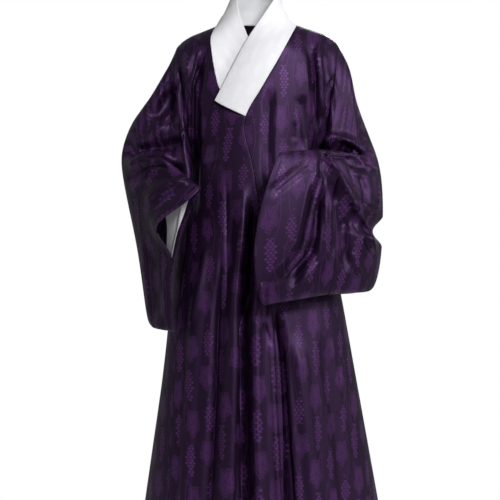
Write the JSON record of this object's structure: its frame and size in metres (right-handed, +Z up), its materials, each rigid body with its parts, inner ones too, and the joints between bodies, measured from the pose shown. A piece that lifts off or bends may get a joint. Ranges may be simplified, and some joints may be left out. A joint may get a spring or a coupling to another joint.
{
  "type": "hanfu robe",
  "caption": "Long crossed-over robe of purple damask with hanging bag sleeves and a broad white collar band, in its hollow worn form.",
  "frame": {"origin": "base of the neck, midway between the shoulders, where the wearer carries the robe", "axes": "+X towards the wearer's left, +Y towards the wearer's back, +Z up"},
  "size_m": [0.7415, 0.5271, 1.5061],
  "materials": {
    "damask": "satin figure on a matt ground",
    "collar": "white damask, soft sheen",
    "facing": "plain matt white"
  },
  "bodies": {
    "root": {"front_left": "damask", "overlap_panel": "damask", "front_right": "damask", "back_left": "damask", "back_right": "damask", "sleeve_left_upper": "damask", "sleeve_left_lower": "damask", "sleeve_right_upper": "damask", "sleeve_right_lower": "damask", "collar_band": "collar", "cuff_facing_right": "facing"}
  },
  "joints": []
}
